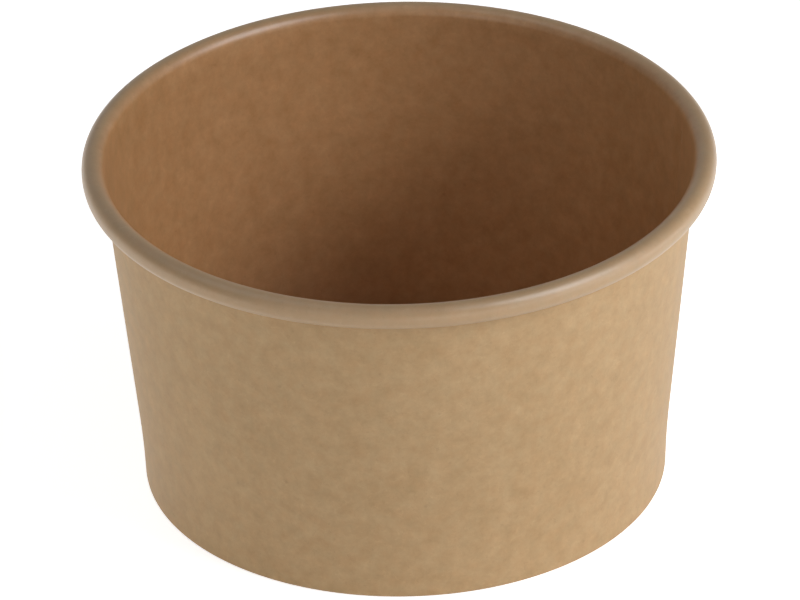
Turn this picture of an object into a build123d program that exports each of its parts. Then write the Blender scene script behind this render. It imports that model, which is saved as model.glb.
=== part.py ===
from build123d import *
from math import acos, asin, atan2, cos, degrees, hypot, radians, sin, tan
import os

# A paper soup cup, in millimetres and degrees. It is made of two pieces of coated board: a
# sidewall rolled from one fan-shaped blank, and a bottom disc that the sidewall's lower edge
# is folded round. The origin is the middle of the ring that the cup stands on, with +Z up.

# Paper board, the same in both pieces
board = 0.45  # thickness
seal_gap = 0.05  # room left between layers that are sealed together

# Outline of the cup
cup_height = 65.5
rim_diameter = 115.0  # outside of the rolled rim, which a lid is pushed over
base_diameter = 95.6  # outside of the wall where it meets the table

# Rolled rim
bead_width = 4.1
bead_height = 4.45
curl_gap = 0.2  # between the curl's cut edge and the wall

# Heel, the steeper foot of the wall that is pressed against the bottom's skirt
heel_height = 8.0  # where the heel's line and the wall's line cross
heel_taper = 2.5  # degrees from upright
heel_blend = 5.0  # how far the curve between the two lines reaches each way

# Bottom disc and the hem that holds its skirt
recess_depth = 5.0  # from the table up to the disc
bottom_bend = 0.6  # inner radius where the disc turns down into its skirt
crease_radius = 0.1  # inner radius of the two creases under the skirt
hem_clear = 0.4  # from the hem's cut edge up to the disc's bend

# Side seam, where the blank's two ends overlap
seam_lap = 6.5  # width of the overlap
seam_ramp = 3.0  # over which the outer layer climbs onto the inner one
seam_clear = 0.3  # from the overlap's ends to the bead and to the crease
seam_azimuth = 6.0  # direction of the outer layer's edge, from +X towards +Y
seam_press_share = 0.25  # of the board, by which the two layers are pressed together

# Lines that both pieces follow
base_radius = base_diameter / 2
rim_radius = rim_diameter / 2
half_board = board / 2
heel_lean = tan(radians(heel_taper))
heel_cosine = cos(radians(heel_taper))
layer_pitch = board + seal_gap
disc_bend_radius = bottom_bend + half_board
fold_radius = crease_radius + half_board
hem_height = recess_depth - bottom_bend - hem_clear


def heel_radius_at(height, layers):
    """Radius of a board's middle line in the heel, counted in layers inwards from the wall's own."""
    return base_radius + height * heel_lean - (half_board + layers * layer_pitch) / heel_cosine


def setback(radius, turn):
    """Length that a bend takes from each of the two straight lines that it joins."""
    return radius * tan(radians(abs(turn) / 2))


def board_side(start, heading, legs, offset):
    """One face of a board, to the left of its middle line, as straight runs that each end in a bend."""
    side = []
    point = Vector(*start) + Vector(0, offset).rotate(Axis.Z, heading)
    for run, radius, turn in legs:
        straight = PolarLine(point, run, heading)
        side.append(straight)
        point = straight @ 1
        if turn:
            bend_radius = radius - offset if turn > 0 else radius + offset
            bend = JernArc(point, straight % 1, bend_radius, turn)
            side.append(bend)
            point = bend @ 1
            heading += turn
    return side


def board_section(start, heading, legs):
    """Section of a bent board in the XZ plane, from the start, heading and legs of its middle line."""
    left = board_side(start, heading, legs, half_board)
    right = board_side(start, heading, legs, -half_board)
    cut_edges = [Line(left[0] @ 0, right[0] @ 0), Line(left[-1] @ 1, right[-1] @ 1)]
    return make_face([*left, *right, *cut_edges])


# The wall is the line from the heel that is tangent to the inner side of the rolled rim
curl_radius = (bead_width - board) / 2
curl_rise = cup_height - bead_width / 2 - heel_height
curl_reach = rim_radius - bead_width / 2 - heel_radius_at(heel_height, 0)
curl_distance = hypot(curl_rise, curl_reach)
wall_taper = degrees(atan2(curl_reach, curl_rise) - asin(curl_radius / curl_distance))
wall_length = curl_distance * cos(asin(curl_radius / curl_distance))
heel_turn = heel_taper - wall_taper
heel_curve_radius = heel_blend / tan(radians(abs(heel_turn) / 2))

# The curl stops short of the wall by the gap at its cut edge
flank = bead_height - bead_width
curl_to_wall = curl_radius + flank * sin(radians(wall_taper)) - half_board
curl_stop = degrees(acos((curl_to_wall - curl_gap) / (curl_radius + half_board)))
curl_turn = 180 + wall_taper - curl_stop

# Sidewall section: hem, foot, heel, wall and rolled rim
crease_in = 90 + heel_taper
crease_out = 90 - heel_taper
hem_run = (hem_height - half_board) / heel_cosine - setback(fold_radius, crease_in)
foot_run = 2 * layer_pitch / heel_cosine
foot_run -= setback(fold_radius, crease_in) + setback(fold_radius, crease_out)
heel_run = (heel_height - half_board) / heel_cosine - setback(fold_radius, crease_out) - heel_blend
sidewall_section = board_section(
    start=(heel_radius_at(hem_height, 2), hem_height),
    heading=-90 - heel_taper,
    legs=[
        (hem_run, fold_radius, crease_in),
        (foot_run, fold_radius, crease_out),
        (heel_run, heel_curve_radius, heel_turn),
        (wall_length - heel_blend, curl_radius, wall_taper - 180),
        (flank, curl_radius, -curl_turn),
    ],
)
rolled_wall = revolve(Plane.XZ * sidewall_section, Axis.Z)

# Side seam: the part of the section that overlaps, from above the crease to below the bead
lap_foot = crease_radius + board + seam_clear
lap_top = cup_height - bead_height - seam_clear
lap_heel_run = (heel_height - lap_foot) / heel_cosine - heel_blend
lap_wall_run = (lap_top - heel_height) / cos(radians(wall_taper)) - heel_blend
lap_section = board_section(
    start=(heel_radius_at(lap_foot, 0), lap_foot),
    heading=90 - heel_taper,
    legs=[(lap_heel_run, heel_curve_radius, heel_turn), (lap_wall_run, 0, 0)],
)
lap_step = board * (1 - seam_press_share)
lap_angle = degrees(seam_lap / base_radius)
ramp_angle = degrees(seam_ramp / base_radius)


def lap_face(azimuth, shift):
    """The overlapping part of the section at an azimuth, moved outwards."""
    return Rot(Z=azimuth) * (Plane.XZ * (Pos(X=shift) * lap_section))


outer_lap = revolve(lap_face(seam_azimuth, lap_step), Axis.Z, lap_angle)
lap_end = seam_azimuth + lap_angle
ramp_end = lap_end + ramp_angle
climbing_layer = loft([lap_face(lap_end, lap_step), lap_face(ramp_end, 0)], ruled=True)
inner_groove = loft([lap_face(lap_end, 0), lap_face(ramp_end, -lap_step)], ruled=True)
sidewall = rolled_wall - inner_groove + climbing_layer + outer_lap

# Bottom disc: flat floor that turns down into a skirt between the wall and the hem
floor_middle = recess_depth + half_board
skirt_foot = board + seal_gap
disc_turn = -90 - heel_taper
disc_run = heel_radius_at(floor_middle, 1) - setback(disc_bend_radius, disc_turn)
skirt_run = (floor_middle - skirt_foot) / heel_cosine - setback(disc_bend_radius, disc_turn)
bottom_section = board_section(
    start=(0, floor_middle),
    heading=0,
    legs=[(disc_run, disc_bend_radius, disc_turn), (skirt_run, 0, 0)],
)
bottom_disc = revolve(Plane.XZ * bottom_section, Axis.Z)

os.makedirs("parts", exist_ok=True)
export_step(sidewall, "parts/sidewall.step")
export_step(bottom_disc, "parts/bottom_disc.step")
print(f"wall taper {wall_taper:.2f}, rim curl {180 - wall_taper + curl_turn:.0f}, hem {hem_height:.2f}")
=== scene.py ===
from math import acos, asin, atan2, cos, degrees, hypot, pi, radians, sin, tan

import bpy
from mathutils import Matrix, Vector


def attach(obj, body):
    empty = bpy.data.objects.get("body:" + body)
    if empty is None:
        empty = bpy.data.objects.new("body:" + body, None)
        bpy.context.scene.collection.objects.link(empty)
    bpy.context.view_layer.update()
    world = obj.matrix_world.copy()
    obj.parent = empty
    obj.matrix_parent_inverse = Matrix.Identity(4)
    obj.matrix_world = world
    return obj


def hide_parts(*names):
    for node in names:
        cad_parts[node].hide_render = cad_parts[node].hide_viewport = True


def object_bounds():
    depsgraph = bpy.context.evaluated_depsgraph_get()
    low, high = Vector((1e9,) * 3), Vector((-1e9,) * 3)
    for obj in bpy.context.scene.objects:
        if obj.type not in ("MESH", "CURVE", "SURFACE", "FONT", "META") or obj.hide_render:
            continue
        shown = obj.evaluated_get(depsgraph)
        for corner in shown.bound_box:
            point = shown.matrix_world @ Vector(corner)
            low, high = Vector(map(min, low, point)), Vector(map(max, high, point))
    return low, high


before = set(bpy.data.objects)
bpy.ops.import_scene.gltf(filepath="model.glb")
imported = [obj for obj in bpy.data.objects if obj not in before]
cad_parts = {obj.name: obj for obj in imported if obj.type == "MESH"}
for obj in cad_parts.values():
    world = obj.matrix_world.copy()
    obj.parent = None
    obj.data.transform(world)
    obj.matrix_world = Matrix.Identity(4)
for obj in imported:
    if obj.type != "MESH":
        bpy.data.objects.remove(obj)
cadLow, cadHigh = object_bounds()
mm = 0.001
print("frame loaded, cup is", round(cadHigh.z / mm, 2), "mm tall")

# sizes that both pieces follow, in metres and degrees
cup = {
    "height": cadHigh.z,
    "rimRadius": (cadHigh.x - cadLow.x) / 2,
    "baseRadius": 47.8 * mm,  # outside of the wall where it meets the table
    "board": 0.45 * mm,
    "sealGap": 0.05 * mm,  # between layers that are sealed together
    "heelTaper": 2.5,  # of the wall's steeper foot, from upright
    "recess": 5.0 * mm,  # table up to the bottom disc
    "discBend": 0.6 * mm,  # inner radius at the disc's edge
    "mergeGap": 0.002 * mm,  # points closer than this become one
    "smoothAngle": 35,  # sharper edges stay sharp
}
halfBoard = cup["board"] / 2
heelCosine = cos(radians(cup["heelTaper"]))
layerPitch = cup["board"] + cup["sealGap"]
wallLayer, skirtLayer, hemLayer = range(3)  # boards in the heel, from the outside


def heelRadiusAt(height, layer):  # middle of a board in the heel
    lean = height * tan(radians(cup["heelTaper"]))
    return cup["baseRadius"] + lean - (halfBoard + layer * layerPitch) / heelCosine


def setback(radius, turn):  # what a bend takes from each straight run beside it
    return radius * tan(radians(abs(turn) / 2))


# modelling helpers

def startPoint(name, x, z):
    bpy.ops.object.select_all(action="DESELECT")
    bpy.ops.mesh.primitive_plane_add(size=mm)
    piece = bpy.context.object
    piece.name = piece.data.name = name
    bpy.ops.object.mode_set(mode="EDIT")
    bpy.ops.mesh.select_mode(type="VERT")
    bpy.ops.mesh.merge(type="CENTER")  # the plane shrinks to one point
    bpy.ops.transform.translate(value=(x, 0, z))
    return piece


def sweep(angle, steps, centre, axis):  # the spin operator turns the other way about its axis
    bpy.ops.mesh.spin(steps=steps, angle=angle, center=centre, axis=-axis, use_auto_merge=False)


def drawBoard(x, z, heading, legs):
    # pulls the selected point along the board's middle line, in legs of a straight run and a bend:
    # length and rows of the run, then radius, turn and steps of the bend
    point = Vector((x, 0, z))
    for run, rows, radius, turn, steps in legs:
        ahead = Vector((cos(radians(heading)), 0, sin(radians(heading))))
        stride = ahead * (run / rows)
        for row in range(rows):
            bpy.ops.mesh.extrude_region_move(TRANSFORM_OT_translate={"value": stride})
            point = point + stride
        if turn:
            axis = Vector((0, -1, 0)) if turn > 0 else Vector((0, 1, 0))
            centre = point + axis.cross(ahead) * radius
            angle = radians(abs(turn))
            sweep(angle, steps, centre, axis)
            point = centre + Matrix.Rotation(angle, 3, axis) @ (point - centre)
            heading += turn


def turnRound(stretches):
    # spins the drawn line about the cup's axis, in stretches of (degrees, steps)
    bpy.ops.mesh.select_all(action="SELECT")
    for angle, steps in stretches:
        sweep(radians(angle), steps, Vector((0, 0, 0)), Vector((0, 0, 1)))
    bpy.ops.mesh.select_all(action="SELECT")
    bpy.ops.mesh.remove_doubles(threshold=cup["mergeGap"])
    bpy.ops.mesh.normals_make_consistent(inside=False)
    bpy.ops.object.mode_set(mode="OBJECT")


def thicken(piece, looks):
    for look in looks:
        piece.data.materials.append(look)
    solid = piece.modifiers.new("board", "SOLIDIFY")
    solid.thickness = cup["board"]
    solid.offset = 0
    solid.use_even_offset = True
    solid.use_quality_normals = True
    solid.material_offset = 1  # the second look, on the outside
    solid.material_offset_rim = 2  # the third, on cut edges
    bpy.ops.object.modifier_apply(modifier=solid.name)


def pushOut(piece, name, depth, shareAt):
    # moves the surface along its normals, by a share of the depth that depends on the place
    group = piece.vertex_groups.new(name=name)
    for vert in piece.data.vertices:
        share = shareAt(vert.co)
        if share:
            group.add([vert.index], share, "REPLACE")
    push = piece.modifiers.new(name, "DISPLACE")
    push.vertex_group = name
    push.mid_level = 0
    push.strength = depth
    bpy.ops.object.modifier_apply(modifier=push.name)
    piece.vertex_groups.clear()


# node helpers
nodeGrid = {"perRow": 7, "wide": 200, "high": 320}  # how new nodes are laid out in the editor


def plug(tree, socket, value):  # a number or a colour is set, another node's output is linked
    if isinstance(value, (int, float, tuple)):
        socket.default_value = value
    else:
        tree.links.new(value, socket)


def addNode(tree, kind, **settings):
    row, column = divmod(len(tree.nodes), nodeGrid["perRow"])
    node = tree.nodes.new(kind)
    node.location = ((column - nodeGrid["perRow"]) * nodeGrid["wide"], -row * nodeGrid["high"])
    for key, value in settings.items():
        if key in node.inputs:
            plug(tree, node.inputs[key], value)
        else:
            setattr(node, key, value)
    return node


def addMath(tree, operation, first, second=0):
    node = addNode(tree, "ShaderNodeMath", operation=operation)
    plug(tree, node.inputs[0], first)
    plug(tree, node.inputs[1], second)
    return node.outputs[0]


def addRange(tree, value, low, high, toLow, toHigh):
    node = addNode(tree, "ShaderNodeMapRange")
    for socket, number in zip(node.inputs, (value, low, high, toLow, toHigh)):
        plug(tree, socket, number)
    return node.outputs[0]


def addMix(tree, blend, factor, first, second):  # of two colours
    node = addNode(tree, "ShaderNodeMix", data_type="RGBA", blend_type=blend)
    for index, value in {0: factor, 6: first, 7: second}.items():
        plug(tree, node.inputs[index], value)
    return node.outputs[2]


def addChoice(tree, factor, first, second):  # first number where the factor is 0, second where it is 1
    node = addNode(tree, "ShaderNodeMix", data_type="FLOAT")
    for index, value in {0: factor, 2: first, 3: second}.items():
        plug(tree, node.inputs[index], value)
    return node.outputs[0]


# kraft paper looks, from one group of clouds, fibres and flecks
kraft = {
    # noises, as size, detail and roughness
    "clouds": (3.2 * mm, 4, 0.72),  # soft light and dark patches
    "broadClouds": (16 * mm, 2, 0.5),
    "hues": (2.4 * mm, 2, 0.6),  # patches that are a little redder or greyer
    "tooth": (0.22 * mm, 2, 0.6),  # grain that can be felt
    "darkFibres": (1.3 * mm, 1, 0.4),  # a fibre runs about this far before it bends
    "darkBreaks": (0.91 * mm, 1, 0.5),  # where fibres stop and start
    "paleFibres": (1.82 * mm, 1, 0.4),
    "paleBreaks": (1.274 * mm, 1, 0.5),
    # how they are used
    "noiseMiddle": 0.5,  # every noise varies about this
    "broadShare": 0.2,  # of the clouds
    "fibreWidth": 0.022,  # of the noise that a fibre follows
    "breakEdge": (0.52, 0.6),  # of the noise that breaks it
    "fibreRelief": 0.5,  # height of a fibre, times the tooth's
    "shiveSize": 4.2 * mm,  # one dark splinter to about this length of paper
    "shiveEdge": (0.03, 0.1),  # of that length, from the splinter's middle
    "shiveChance": (0.5, 0.9),  # a splinter comes in between these random values
    "mottleRange": (0.3, 0.7),  # clouds between which the roughness changes
    "bumpDepth": 0.05 * mm,
    # tints, times the paper's own tone
    "darkCloud": (0.87, 0.84, 0.77, 1),
    "paleCloud": (1.13, 1.16, 1.24, 1),
    "redHue": (1.05, 0.985, 0.94, 1),
    "greyHue": (0.95, 1.015, 1.06, 1),
    "darkFibre": (0.82, 0.79, 0.74, 1),
    "paleFibre": (1.13, 1.16, 1.22, 1),
    "shive": (0.72, 0.66, 0.6, 1),
}


def makeKraftGroup():
    group = bpy.data.node_groups.new("kraftSheet", "ShaderNodeTree")
    for side, name, kind in (
        ("INPUT", "Place", "NodeSocketVector"),
        ("INPUT", "Tone", "NodeSocketColor"),
        ("INPUT", "Cloud", "NodeSocketFloat"),
        ("INPUT", "Fibre", "NodeSocketFloat"),
        ("OUTPUT", "Color", "NodeSocketColor"),
        ("OUTPUT", "Mottle", "NodeSocketFloat"),
        ("OUTPUT", "Height", "NodeSocketFloat"),
    ):
        group.interface.new_socket(name=name, in_out=side, socket_type=kind)
    given = addNode(group, "NodeGroupInput").outputs
    result = addNode(group, "NodeGroupOutput").inputs

    def noise(size, detail, rough):
        node = addNode(group, "ShaderNodeTexNoise", Vector=given["Place"], Scale=1 / size,
                       Detail=detail, Roughness=rough)
        return node.outputs["Fac"]

    # clouds: pulp that settled unevenly
    fine = addMath(group, "MULTIPLY", noise(*kraft["clouds"]), 1 - kraft["broadShare"])
    broad = addMath(group, "MULTIPLY", noise(*kraft["broadClouds"]), kraft["broadShare"])
    mottle = addMath(group, "ADD", fine, broad)
    contrast = addMath(group, "SUBTRACT", mottle, kraft["noiseMiddle"])
    contrast = addMath(group, "MULTIPLY", contrast, given["Cloud"])
    shade = addMath(group, "ADD", contrast, kraft["noiseMiddle"])
    cloudTint = addMix(group, "MIX", shade, kraft["darkCloud"], kraft["paleCloud"])
    hueTint = addMix(group, "MIX", noise(*kraft["hues"]), kraft["redHue"], kraft["greyHue"])
    tint = addMix(group, "MULTIPLY", 1.0, cloudTint, hueTint)
    paper = addMix(group, "MULTIPLY", 1.0, given["Tone"], tint)

    # fibres: level lines of a noise, broken into short hairs
    def fibres(lines, breaks):
        level = addMath(group, "SUBTRACT", noise(*lines), kraft["noiseMiddle"])
        line = addRange(group, addMath(group, "ABSOLUTE", level), 0, kraft["fibreWidth"], 1, 0)
        broken = addRange(group, noise(*breaks), *kraft["breakEdge"], 0, 1)
        return addMath(group, "MULTIPLY", addMath(group, "MULTIPLY", line, broken), given["Fibre"])

    darkHairs = fibres(kraft["darkFibres"], kraft["darkBreaks"])
    paleHairs = fibres(kraft["paleFibres"], kraft["paleBreaks"])
    haired = addMix(group, "MULTIPLY", darkHairs, paper, kraft["darkFibre"])
    haired = addMix(group, "MULTIPLY", paleHairs, haired, kraft["paleFibre"])

    # shives: a few small dark splinters
    spots = addNode(group, "ShaderNodeTexVoronoi", Vector=given["Place"], Scale=1 / kraft["shiveSize"])
    splinter = addRange(group, spots.outputs["Distance"], *kraft["shiveEdge"], 1, 0)
    chance = addNode(group, "ShaderNodeSeparateColor", Color=spots.outputs["Color"]).outputs["Red"]
    few = addRange(group, chance, *kraft["shiveChance"], 0, 1)
    shives = addMath(group, "MULTIPLY", addMath(group, "MULTIPLY", splinter, few), given["Fibre"])
    flecked = addMix(group, "MULTIPLY", shives, haired, kraft["shive"])

    hairs = addMath(group, "MULTIPLY", addMath(group, "ADD", darkHairs, paleHairs), kraft["fibreRelief"])
    relief = addMath(group, "ADD", noise(*kraft["tooth"]), hairs)
    group.links.new(flecked, result["Color"])
    group.links.new(mottle, result["Mottle"])
    group.links.new(relief, result["Height"])
    return group


kraftGroup = makeKraftGroup()


def addRimShare(tree, place, start, full):  # 0 on the wall, 1 in the rim, by the depth in from its edge
    flat = addNode(tree, "ShaderNodeVectorMath", operation="MULTIPLY", Vector=place)
    flat.inputs[1].default_value = (1, 1, 0)
    radius = addNode(tree, "ShaderNodeVectorMath", operation="LENGTH", Vector=flat.outputs[0])
    low, high = cup["rimRadius"] - start, cup["rimRadius"] - full
    return addRange(tree, radius.outputs["Value"], low, high, 0, 1)


def makeKraft(name, values):
    look = bpy.data.materials.new(name)
    look.use_nodes = True
    tree = look.node_tree
    shader = tree.nodes["Principled BSDF"]
    place = addNode(tree, "ShaderNodeTexCoord").outputs["Object"]
    tone = (*values["tone"], 1)
    sheet = addNode(tree, "ShaderNodeGroup", node_tree=kraftGroup, Place=place, Tone=tone,
                    Cloud=values["cloud"], Fibre=values["fibre"])
    if "rimToneWithSheen" in values:  # in the rim the tone is greyer, partly a painted sheen standing in for the coating's pale reflections on the bead, and the mottle is more even
        rimShare = addRimShare(tree, place, *values["rimDepth"])
        rimToneWithSheen = addMix(tree, "MIX", rimShare, tone, (*values["rimToneWithSheen"], 1))
        rimCloud = addRange(tree, rimShare, 0, 1, values["cloud"], values["rimCloud"])
        tree.links.new(rimToneWithSheen, sheet.inputs["Tone"])
        tree.links.new(rimCloud, sheet.inputs["Cloud"])
    rough = addRange(tree, sheet.outputs["Mottle"], *kraft["mottleRange"], *values["rough"])
    bump = addNode(tree, "ShaderNodeBump", Strength=values["bump"], Distance=kraft["bumpDepth"],
                   Height=sheet.outputs["Height"])
    tree.links.new(sheet.outputs["Color"], shader.inputs["Base Color"])
    tree.links.new(rough, shader.inputs["Roughness"])
    tree.links.new(bump.outputs["Normal"], shader.inputs["Normal"])
    shader.inputs["IOR"].default_value = values["ior"]
    shader.inputs["Coat Weight"].default_value = values["coat"]
    shader.inputs["Coat Roughness"].default_value = values["coatRough"]
    return look


coatedKraft = makeKraft("coatedKraft", {  # food side, which the rim rolls outwards
    "tone": (0.5, 0.268, 0.115),
    # greyer tone for the rim, partly a painted sheen of the coating on the bead
    "rimToneWithSheen": (0.435, 0.283, 0.15),
    "rimDepth": (3.9 * mm, 2.4 * mm),  # in from the rim's edge, where its tone starts and is full
    "cloud": 2.7,
    "rimCloud": 1.0,
    "fibre": 0.4,
    "bump": 0.12,
    "rough": (0.45, 0.55),
    "ior": 1.32,
    "coat": 0.75,
    "coatRough": 0.36,
})
plainKraft = makeKraft("plainKraft", {  # outside of the board
    "tone": (0.47, 0.305, 0.15),
    "cloud": 2.4,
    "fibre": 0.5,
    "bump": 0.3,
    "rough": (0.5, 0.62),
    "ior": 1.47,
    "coat": 0,
    "coatRough": 0.5,
})
cutKraft = makeKraft("cutKraft", {  # raw edges
    "tone": (0.52, 0.36, 0.2),
    "cloud": 2.0,
    "fibre": 1.0,
    "bump": 0.6,
    "rough": (0.8, 0.95),
    "ior": 1.45,
    "coat": 0,
    "coatRough": 0.5,
})
boardLooks = [coatedKraft, plainKraft, cutKraft]
print("kraft looks made")

# sidewall: hem, creases, heel, tapered wall and rolled rim, with the overlapping side seam
wall = {
    "beadWidth": 4.1 * mm,
    "beadHeight": 4.45 * mm,
    "curlGap": 0.2 * mm,  # between the curl's cut edge and the wall
    "heelHeight": 8.0 * mm,  # where the heel's line and the wall's line cross
    "heelBlend": 5.0 * mm,  # how far the curve between them reaches each way
    "crease": 0.1 * mm,  # inner radius of the two creases under the skirt
    "hemClear": 0.4 * mm,  # from the hem's cut edge up to the disc's bend
    "seamLap": 6.5 * mm,
    "seamRamp": 3.0 * mm,  # over which the outer layer climbs onto the inner one
    "seamClear": 0.3 * mm,  # from the overlap's ends to the bead and to the crease
    "seamFade": 1.2 * mm,  # over which the overlap flattens at its ends
    "seamAzimuth": 6.0,  # of the outer layer's edge
    "seamPress": 0.25,  # share of the board that is lost where the layers are pressed together
    "cutStep": 0.2,  # degrees that a cut edge of the overlap slopes over
    # rows of faces along the runs, and steps round the bends
    "hemRows": 8,
    "footRows": 2,
    "heelRows": 6,
    "wallRows": 40,
    "flankRows": 1,
    "foldSteps": 6,
    "heelSteps": 6,
    "rollSteps": 18,  # over the top of the bead
    "curlSteps": 15,  # and under it
    # columns of faces: up to the seam, over it and round the rest
    "beforeColumns": 5,
    "lapColumns": 6,
    "rampColumns": 6,
    "columns": 300,
}
curlRadius = (wall["beadWidth"] - cup["board"]) / 2
curlRise = cup["height"] - wall["beadWidth"] / 2 - wall["heelHeight"]
curlReach = cup["rimRadius"] - wall["beadWidth"] / 2 - heelRadiusAt(wall["heelHeight"], wallLayer)
curlDistance = hypot(curlRise, curlReach)
wallTaper = degrees(atan2(curlReach, curlRise) - asin(curlRadius / curlDistance))
wallLength = curlDistance * cos(asin(curlRadius / curlDistance))
wallRun = wallLength - wall["heelBlend"]
heelTurn = cup["heelTaper"] - wallTaper
heelCurve = wall["heelBlend"] / tan(radians(abs(heelTurn) / 2))
flank = wall["beadHeight"] - wall["beadWidth"]
curlToWall = curlRadius + flank * sin(radians(wallTaper)) - halfBoard
curlStop = degrees(acos((curlToWall - wall["curlGap"]) / (curlRadius + halfBoard)))
curlTurn = 180 + wallTaper - curlStop
hemHeight = cup["recess"] - cup["discBend"] - wall["hemClear"]
foldRadius = wall["crease"] + halfBoard
creaseIn = 90 + cup["heelTaper"]
creaseOut = 90 - cup["heelTaper"]
inSetback = setback(foldRadius, creaseIn)
outSetback = setback(foldRadius, creaseOut)
hemRun = (hemHeight - halfBoard) / heelCosine - inSetback
footRun = hemLayer * layerPitch / heelCosine - inSetback - outSetback
heelRun = (wall["heelHeight"] - halfBoard) / heelCosine - outSetback - wall["heelBlend"]
lapAngle = degrees(wall["seamLap"] / cup["baseRadius"])
rampAngle = degrees(wall["seamRamp"] / cup["baseRadius"])
lapFoot = wall["crease"] + cup["board"] + wall["seamClear"]
lapTop = cup["height"] - wall["beadHeight"] - wall["seamClear"]


def midRadiusAt(height):  # middle of the wall's board, heel or taper
    taper = (height - wall["heelHeight"]) * tan(radians(wallTaper))
    return max(heelRadiusAt(height, wallLayer), heelRadiusAt(wall["heelHeight"], wallLayer) + taper)


def depthAt(place):  # outwards from the middle of the wall's board
    return hypot(place.x, place.y) - midRadiusAt(place.z)


def pastSeam(place, outside):  # degrees past the cut edge of the outer or inner layer
    edge = wall["seamAzimuth"] if outside else wall["seamAzimuth"] + lapAngle
    return degrees(atan2(place.y, place.x)) - edge


def seamShare(place, outside):
    # how far the overlap stands out here, from 0 to 1
    depth = depthAt(place)
    if abs(depth) > cup["board"] or (depth > 0) != outside:
        return 0
    ends = min(place.z - lapFoot, lapTop - place.z) / wall["seamFade"]
    if ends <= 0 or pastSeam(place, outside) < -wall["cutStep"] / 2:
        return 0
    climb = 1 - pastSeam(place, False) / rampAngle
    return min(1, max(0, climb)) * min(1, ends)


def markCutEdges(piece):
    # raw board shows at the overlap's two cut edges
    bare = piece.data.materials.find(cutKraft.name)
    for face in piece.data.polygons:
        place = face.center
        before = -pastSeam(place, depthAt(place) > 0)
        if 0 < before < wall["cutStep"] and lapFoot < place.z < lapTop:
            face.material_index = bare


def buildWall():
    x = heelRadiusAt(hemHeight, hemLayer)
    piece = startPoint("cup_wall", x, hemHeight)
    drawBoard(x, hemHeight, -creaseIn, [
        (hemRun, wall["hemRows"], foldRadius, creaseIn, wall["foldSteps"]),
        (footRun, wall["footRows"], foldRadius, creaseOut, wall["foldSteps"]),
        (heelRun, wall["heelRows"], heelCurve, heelTurn, wall["heelSteps"]),
        (wallRun, wall["wallRows"], curlRadius, wallTaper - 180, wall["rollSteps"]),
        (flank, wall["flankRows"], curlRadius, -curlTurn, wall["curlSteps"]),
    ])
    cut = wall["cutStep"]
    turnRound([
        (wall["seamAzimuth"] - cut, wall["beforeColumns"]),
        (cut, 1),
        (lapAngle - cut, wall["lapColumns"]),
        (cut, 1),
        (rampAngle, wall["rampColumns"]),
        (360 - wall["seamAzimuth"] - lapAngle - rampAngle, wall["columns"]),
    ])
    thicken(piece, boardLooks)
    seamStep = cup["board"] * (1 - wall["seamPress"])
    pushOut(piece, "outerLap", seamStep, lambda place: seamShare(place, True))
    pushOut(piece, "innerLap", -seamStep, lambda place: seamShare(place, False))
    markCutEdges(piece)
    bpy.ops.object.shade_smooth_by_angle(angle=radians(cup["smoothAngle"]))
    return piece


cupWall = buildWall()
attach(cupWall, "root")
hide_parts("sidewall")
print("sidewall", len(cupWall.data.polygons), "faces")

# bottom disc: flat floor, turned down into a skirt between the wall and the hem
bottom = {"rings": 6, "bendSteps": 8, "skirtRows": 3, "columns": 200}


def buildBottom():
    floorMiddle = cup["recess"] + halfBoard
    bendRadius = cup["discBend"] + halfBoard
    bendTurn = -90 - cup["heelTaper"]
    bendSetback = setback(bendRadius, bendTurn)
    skirtFoot = cup["board"] + cup["sealGap"]
    discRun = heelRadiusAt(floorMiddle, skirtLayer) - bendSetback
    skirtRun = (floorMiddle - skirtFoot) / heelCosine - bendSetback
    piece = startPoint("cup_bottom", 0, floorMiddle)
    drawBoard(0, floorMiddle, 0, [
        (discRun, bottom["rings"], bendRadius, bendTurn, bottom["bendSteps"]),
        (skirtRun, bottom["skirtRows"], 0, 0, 0),
    ])
    turnRound([(360, bottom["columns"])])
    thicken(piece, boardLooks)
    bpy.ops.object.shade_smooth_by_angle(angle=radians(cup["smoothAngle"]))
    return piece


cupBottom = buildBottom()
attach(cupBottom, "root")
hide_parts("bottom_disc")
print("bottom", len(cupBottom.data.polygons), "faces")

# floor, backdrop light and lamps
white = (1, 1, 1, 1)
studio = {
    "floorSize": 6,
    "floorTone": (0.86, 0.86, 0.86, 1),
    "floorRough": 0.9,
    "floorSpecular": 0.1,
    "floorGlow": 0.74,  # lifts the floor to white for the camera, and leaves the shadow
    "ambient": 0.2,  # world light on the cup
    "mirrored": (0.45, 0.2),  # how bright reflections see the backdrop, low down and overhead
    "overhead": (0.1, 0.55),  # heights, as the sine of the angle, between which it darkens
    "aim": (0, 0, 0.035),
    "lamps": {  # azimuth from +X towards +Y, height angle, distance, width, height, strength
        "key": (347, 29, 1.5, 0.55, 0.6, 0.31),  # two soft boxes that also light the inside
        "keySide": (324, 29, 1.5, 0.36, 0.34, 0.19),
        "front": (240, 25, 1.5, 0.7, 0.7, 0.097),
        "frontCard": (300, 1, 0.45, 0.5, 0.09, 0.157),  # low reflectors, for the outside of the wall
        "rightCard": (350, 1, 0.45, 0.5, 0.09, 0.175),
        "leftStrip": (190, -6, 0.25, 0.36, 0.02, 0.26),
        "back": (112, 22, 1.5, 0.9, 0.6, 0.17),
        "sheen": (334, 41, 1.5, 0.75, 1.1, 0.85),  # cool windows for the highlights on the rim
        "topSheen": (172, 64, 1.5, 0.9, 0.9, 0.13),
    },
    "noGloss": ["key", "keySide", "leftStrip", "back"],  # these light the board and leave no highlight
    "onlyGloss": ["sheen", "topSheen"],
    "sheenTone": (0.7, 0.84, 1),
}


def addMirrored(tree, rays):  # 1 where a reflection or clear material sees the surface
    return addMath(tree, "MAXIMUM", rays["Is Glossy Ray"], rays["Is Transmission Ray"])


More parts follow.
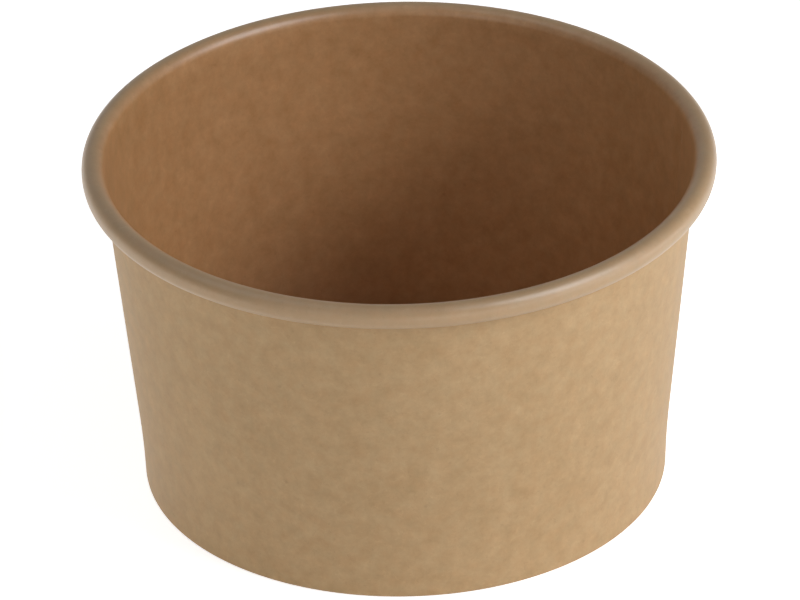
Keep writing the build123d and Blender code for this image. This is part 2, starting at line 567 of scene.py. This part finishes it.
def addFloor():
    bpy.ops.object.select_all(action="DESELECT")
    bpy.ops.mesh.primitive_plane_add(size=studio["floorSize"])
    floor = bpy.context.object
    floor.name = floor.data.name = "floor"
    look = bpy.data.materials.new("paleFloor")
    look.use_nodes = True
    tree = look.node_tree
    shader = tree.nodes["Principled BSDF"]
    shader.inputs["Base Color"].default_value = studio["floorTone"]
    shader.inputs["Roughness"].default_value = studio["floorRough"]
    shader.inputs["Specular IOR Level"].default_value = studio["floorSpecular"]
    shader.inputs["Emission Color"].default_value = white
    rays = addNode(tree, "ShaderNodeLightPath").outputs
    seen = addMath(tree, "MAXIMUM", rays["Is Camera Ray"], addMirrored(tree, rays))
    glow = addMath(tree, "MULTIPLY", seen, studio["floorGlow"])
    tree.links.new(glow, shader.inputs["Emission Strength"])
    floor.data.materials.append(look)


def addWorld():
    world = bpy.data.worlds.new("studio")
    bpy.context.scene.world = world
    world.use_nodes = True
    tree = world.node_tree
    background = tree.nodes["Background"]
    background.inputs["Color"].default_value = white
    way = addNode(tree, "ShaderNodeTexCoord").outputs["Generated"]
    height = addNode(tree, "ShaderNodeSeparateXYZ", Vector=way).outputs["Z"]
    rays = addNode(tree, "ShaderNodeLightPath").outputs
    backdrop = addRange(tree, height, *studio["overhead"], *studio["mirrored"])
    unseen = addChoice(tree, addMirrored(tree, rays), studio["ambient"], backdrop)
    strength = addChoice(tree, rays["Is Camera Ray"], unseen, 1)
    tree.links.new(strength, background.inputs["Strength"])


def addLamp(name, azimuth, elevation, distance, wide, tall, strength):
    turn, lift = radians(azimuth), radians(elevation)
    way = Vector((cos(turn) * cos(lift), sin(turn) * cos(lift), sin(lift)))
    bpy.ops.object.light_add(type="AREA", location=Vector(studio["aim"]) + distance * way)
    lamp = bpy.context.object
    lamp.name = lamp.data.name = name
    lamp.rotation_euler = way.to_track_quat("Z", "Y").to_euler()
    lamp.data.shape = "RECTANGLE"
    lamp.data.size, lamp.data.size_y = wide, tall
    lamp.data.energy = strength * (pi * distance) ** 2  # strength 1 lights a surface that faces it as 1
    lamp.visible_camera = False
    lamp.visible_glossy = name not in studio["noGloss"]
    if name in studio["onlyGloss"]:
        lamp.visible_diffuse = False
        lamp.data.color = studio["sheenTone"]


addFloor()
addWorld()
for lampName, values in studio["lamps"].items():
    addLamp(lampName, *values)
print("studio set with", len(studio["lamps"]), "lamps")

# camera where the photo was taken from
photoView = {
    "size": (800, 600),
    "sensor": 36.0,
    "lens": 450.0,
    "tilt": 30.43,  # degrees down
    "roll": -1.28,
    "distance": 1.809,
    "rimPixel": (398.8, 150.3),  # where the middle of the rim's top is
}


def addCamera():
    wide, high = photoView["size"]
    rimX, rimY = photoView["rimPixel"]
    focal = photoView["lens"] / photoView["sensor"] * wide
    tilt, roll = radians(photoView["tilt"]), radians(photoView["roll"])
    ahead = Vector((0, cos(tilt), -sin(tilt)))
    levelUp = Vector((0, sin(tilt), cos(tilt)))
    right = Vector((cos(roll), 0, 0)) + levelUp * sin(roll)
    up = levelUp * cos(roll) - Vector((sin(roll), 0, 0))
    across = (rimX - wide / 2) / focal
    down = (rimY - high / 2) / focal
    place = Vector((0, 0, cup["height"])) - photoView["distance"] * (ahead + across * right - down * up)
    bpy.ops.object.camera_add()
    camera = bpy.context.object
    camera.matrix_world = Matrix.Translation(place) @ Matrix((right, up, -ahead)).transposed().to_4x4()
    camera.data.sensor_width = photoView["sensor"]
    camera.data.lens = photoView["lens"]
    bpy.context.scene.camera = camera


addCamera()
bpy.context.scene.view_settings.view_transform = "Standard"
print("camera set", photoView["distance"], "m away")
